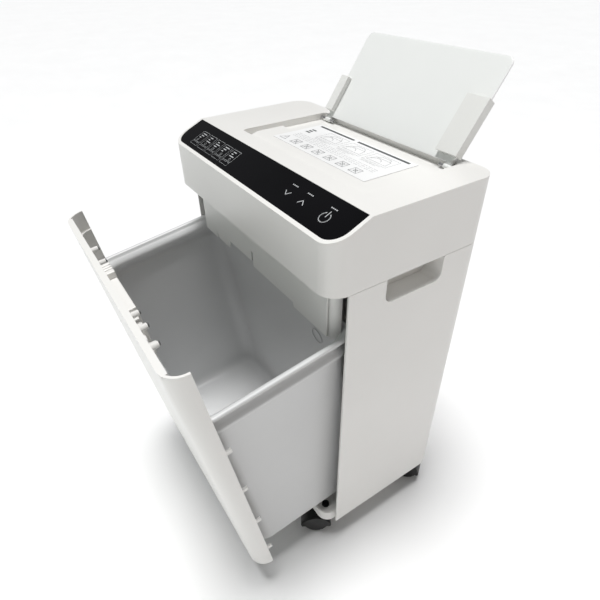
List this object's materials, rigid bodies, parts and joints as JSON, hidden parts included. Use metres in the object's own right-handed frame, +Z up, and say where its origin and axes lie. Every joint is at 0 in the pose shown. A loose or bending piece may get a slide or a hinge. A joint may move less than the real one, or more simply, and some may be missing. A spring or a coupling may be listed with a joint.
{
  "type": "paper shredder",
  "caption": "Office paper shredder on casters with a cutting head, sloped touch panel, leaning paper tray, side grips and a pull-out tipping waste bin.",
  "frame": {"origin": "middle of the footprint of the whole shredder with its bin drawn out, on the floor that the casters stand on", "axes": "+X to the right of someone facing the front, +Y towards the back, +Z up"},
  "size_m": [0.38, 0.4496, 0.6667],
  "materials": {
    "white_shell": "moulded, satin, very fine grain",
    "pale_inner": "moulded, satin",
    "grey_inner": "moulded, matt",
    "gloss_black": "polished acrylic with printed white symbols",
    "label": null,
    "tray_translucent": "frosted translucent sheet",
    "tray_guide": "moulded, satin",
    "steel": "zinc plated",
    "cutter_steel": "hardened, lightly oiled",
    "bronze": "sintered",
    "nylon": "moulded nylon",
    "motor_can": "drawn steel can",
    "circuit_board": "coated board",
    "black_plastic": "moulded, satin",
    "black_rubber": "matt",
    "caster_wheel": "moulded nylon tread",
    "bin_grey": "moulded, matt"
  },
  "bodies": {
    "cabinet": {"head_shell": "white_shell", "head_pan": "pale_inner", "touch_panel": "gloss_black", "feed_label": "label", "feed_throat": "grey_inner", "tray_pin_left": "steel", "tray_pin_right": "steel", "right_side_panel": "white_shell", "left_side_panel": "white_shell", "rear_panel": "white_shell", "base_tray": "white_shell", "inner_skirt": "pale_inner", "post_right": "pale_inner", "post_left": "pale_inner", "cutter_frame_left": "steel", "cutter_frame_right": "steel", "front_bush_left": "bronze", "front_bush_right": "bronze", "rear_bush_left": "bronze", "rear_bush_right": "bronze", "stripper_bar_front": "steel", "stripper_bar_rear": "steel", "gear_axle": "steel", "motor": "motor_can", "control_board": "circuit_board", "touch_board": "circuit_board", "paper_sensor": "black_plastic", "interlock_switch": "black_plastic", "switch_bezel": "black_plastic", "cord_gland": "black_rubber"},
    "tray": {"paper_tray": "tray_translucent", "tray_guide_left": "tray_guide", "tray_guide_right": "tray_guide"},
    "front_cutters": {"front_cutter_roller": "cutter_steel", "front_cutter_gear": "steel", "drive_gear": "nylon"},
    "rear_cutters": {"rear_cutter_roller": "cutter_steel", "rear_cutter_gear": "steel"},
    "compound_gear": {"compound_gear": "nylon"},
    "motor_shaft": {"motor_pinion": "steel"},
    "rocker": {"power_rocker": "black_plastic"},
    "carriage": {"bin_carriage": "steel", "bin_pin_right": "steel", "bin_pin_left": "steel"},
    "bin": {"bin_tub": "bin_grey", "front_panel": "white_shell", "panel_bracket": "white_shell"},
    "swivel_front_right": {"caster_hood_front_right": "black_plastic"},
    "wheels_front_right": {"caster_wheel_a_front_right": "caster_wheel", "caster_wheel_b_front_right": "caster_wheel"},
    "swivel_rear_right": {"caster_hood_rear_right": "black_plastic"},
    "wheels_rear_right": {"caster_wheel_a_rear_right": "caster_wheel", "caster_wheel_b_rear_right": "caster_wheel"},
    "swivel_front_left": {"caster_hood_front_left": "black_plastic"},
    "wheels_front_left": {"caster_wheel_a_front_left": "caster_wheel", "caster_wheel_b_front_left": "caster_wheel"},
    "swivel_rear_left": {"caster_hood_rear_left": "black_plastic"},
    "wheels_rear_left": {"caster_wheel_a_rear_left": "caster_wheel", "caster_wheel_b_rear_left": "caster_wheel"}
  },
  "joints": [
    {"name": "bin_slide", "type": "slide", "parent": "cabinet", "child": "carriage", "axis": [0, 1, 0], "range_m": [0, 0.112]},
    {"name": "bin_tilt", "type": "hinge", "parent": "carriage", "child": "bin", "pos_m": [0, -0.15894, 0.07], "axis": [1, 0, 0], "range_deg": [-8.25, 0]},
    {"name": "tray_fold", "type": "hinge", "parent": "cabinet", "child": "tray", "pos_m": [0, 0.14806, 0.56], "axis": [1, 0, 0], "range_deg": [0, 92]},
    {"name": "front_cutters_spin", "type": "hinge", "parent": "cabinet", "child": "front_cutters", "pos_m": [0, 0.11306, 0.512], "axis": [1, 0, 0], "continuous": true},
    {"name": "rear_cutters_spin", "type": "hinge", "parent": "cabinet", "child": "rear_cutters", "pos_m": [0, 0.14306, 0.512], "axis": [1, 0, 0], "continuous": true},
    {"name": "compound_gear_spin", "type": "hinge", "parent": "cabinet", "child": "compound_gear", "pos_m": [0, 0.07907, 0.519], "axis": [1, 0, 0], "continuous": true},
    {"name": "motor_spin", "type": "hinge", "parent": "cabinet", "child": "motor_shaft", "pos_m": [0, 0.04509, 0.526], "axis": [1, 0, 0], "continuous": true},
    {"name": "rocker_tip", "type": "hinge", "parent": "cabinet", "child": "rocker", "pos_m": [-0.14, 0.16406, 0.523], "axis": [1, 0, 0], "range_deg": [0, 18]},
    {"name": "swivel_front_right", "type": "hinge", "parent": "cabinet", "child": "swivel_front_right", "pos_m": [0.16, -0.02894, 0.05], "axis": [0, 0, 1], "continuous": true},
    {"name": "roll_front_right", "type": "hinge", "parent": "swivel_front_right", "child": "wheels_front_right", "pos_m": [0.15183, -0.04152, 0.02], "axis": [0.8387, -0.5446, 0], "continuous": true},
    {"name": "swivel_rear_right", "type": "hinge", "parent": "cabinet", "child": "swivel_rear_right", "pos_m": [0.15, 0.13806, 0.05], "axis": [0, 0, 1], "continuous": true},
    {"name": "roll_rear_right", "type": "hinge", "parent": "swivel_rear_right", "child": "wheels_rear_right", "pos_m": [0.16229, 0.14666, 0.02], "axis": [-0.5736, 0.8192, 0], "continuous": true},
    {"name": "swivel_front_left", "type": "hinge", "parent": "cabinet", "child": "swivel_front_left", "pos_m": [-0.16, -0.02894, 0.05], "axis": [0, 0, 1], "continuous": true},
    {"name": "roll_front_left", "type": "hinge", "parent": "swivel_front_left", "child": "wheels_front_left", "pos_m": [-0.15183, -0.04152, 0.02], "axis": [0.8387, 0.5446, 0], "continuous": true},
    {"name": "swivel_rear_left", "type": "hinge", "parent": "cabinet", "child": "swivel_rear_left", "pos_m": [-0.15, 0.13806, 0.05], "axis": [0, 0, 1], "continuous": true},
    {"name": "roll_rear_left", "type": "hinge", "parent": "swivel_rear_left", "child": "wheels_rear_left", "pos_m": [-0.16229, 0.14666, 0.02], "axis": [-0.5736, -0.8192, 0], "continuous": true}
  ],
  "couplings": [
    {"joint": "bin_tilt", "follows": "bin_slide", "rad_per_m": -1.2778},
    {"joint": "rear_cutters_spin", "follows": "front_cutters_spin", "ratio": -1},
    {"joint": "compound_gear_spin", "follows": "front_cutters_spin", "ratio": -2.8333},
    {"joint": "motor_spin", "follows": "front_cutters_spin", "ratio": 5.3125}
  ]
}
